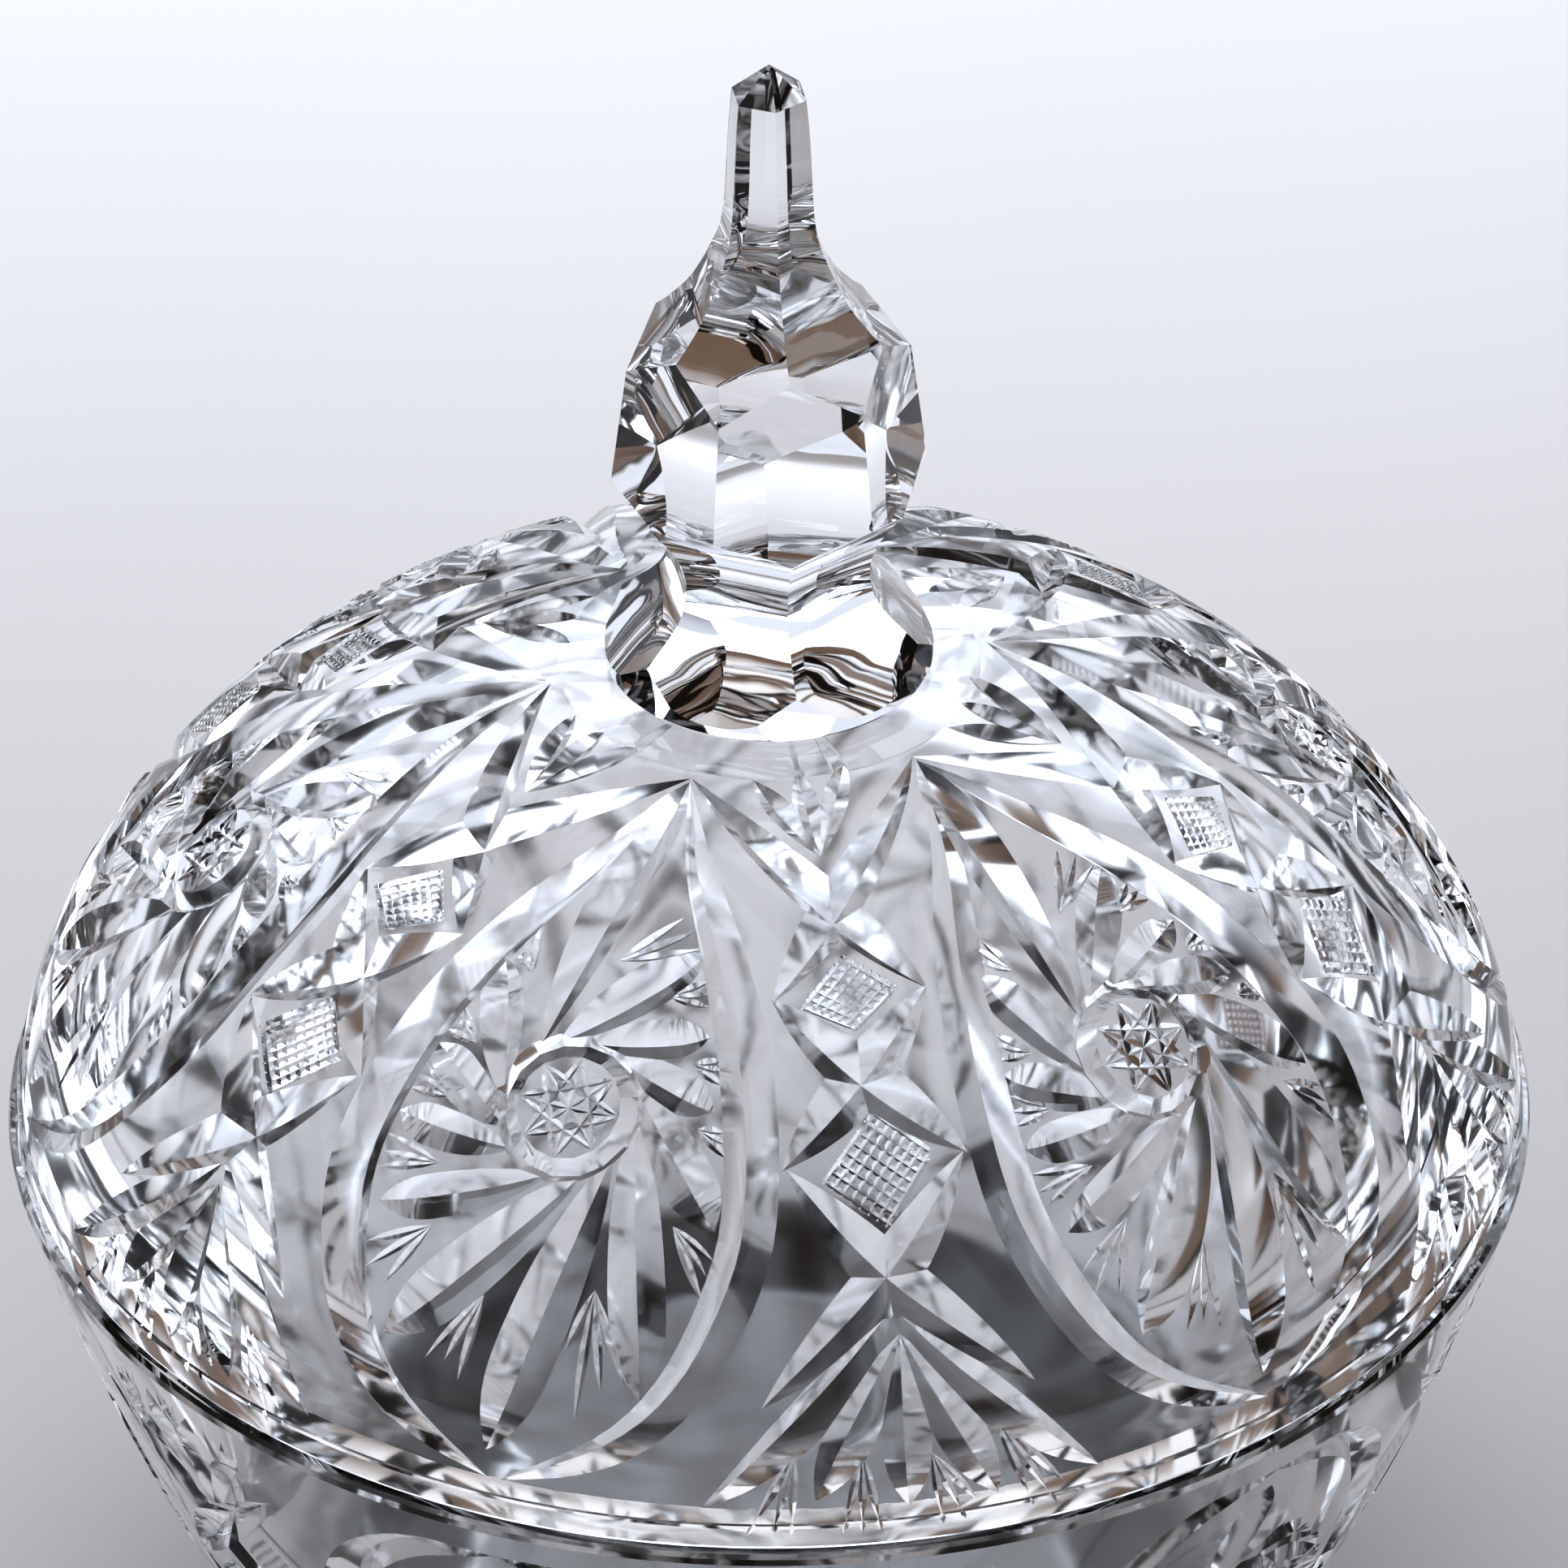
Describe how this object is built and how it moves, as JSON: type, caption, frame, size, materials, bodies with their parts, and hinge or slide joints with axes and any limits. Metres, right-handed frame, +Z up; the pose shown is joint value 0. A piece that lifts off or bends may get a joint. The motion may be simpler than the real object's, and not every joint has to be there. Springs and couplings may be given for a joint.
{
  "type": "powder jar",
  "caption": "Round covered jar of thick clear cut crystal, with a domed lift-off lid and a tall faceted knob.",
  "frame": {"origin": "centre of the jar's underside, on the surface it stands on", "axes": "+Z up along the axis of bowl, lid and knob; one column of the cut pattern faces -Y"},
  "size_m": [0.152, 0.152, 0.1798],
  "materials": {
    "crystal": "polished clear lead crystal",
    "bond": "clear cured adhesive"
  },
  "bodies": {
    "bowl": {"bowl": "crystal"},
    "lift": {"knob_bond": "bond"},
    "lid": {"lid_shell": "crystal", "knob": "crystal"}
  },
  "joints": [
    {"name": "lid_lift", "type": "slide", "parent": "bowl", "child": "lift", "axis": [0, 0, 1], "range_m": [0, 0.12]},
    {"name": "lid_turn", "type": "hinge", "parent": "lift", "child": "lid", "pos_m": [0, 0, 0.114], "axis": [0, 0, 1], "continuous": true}
  ]
}
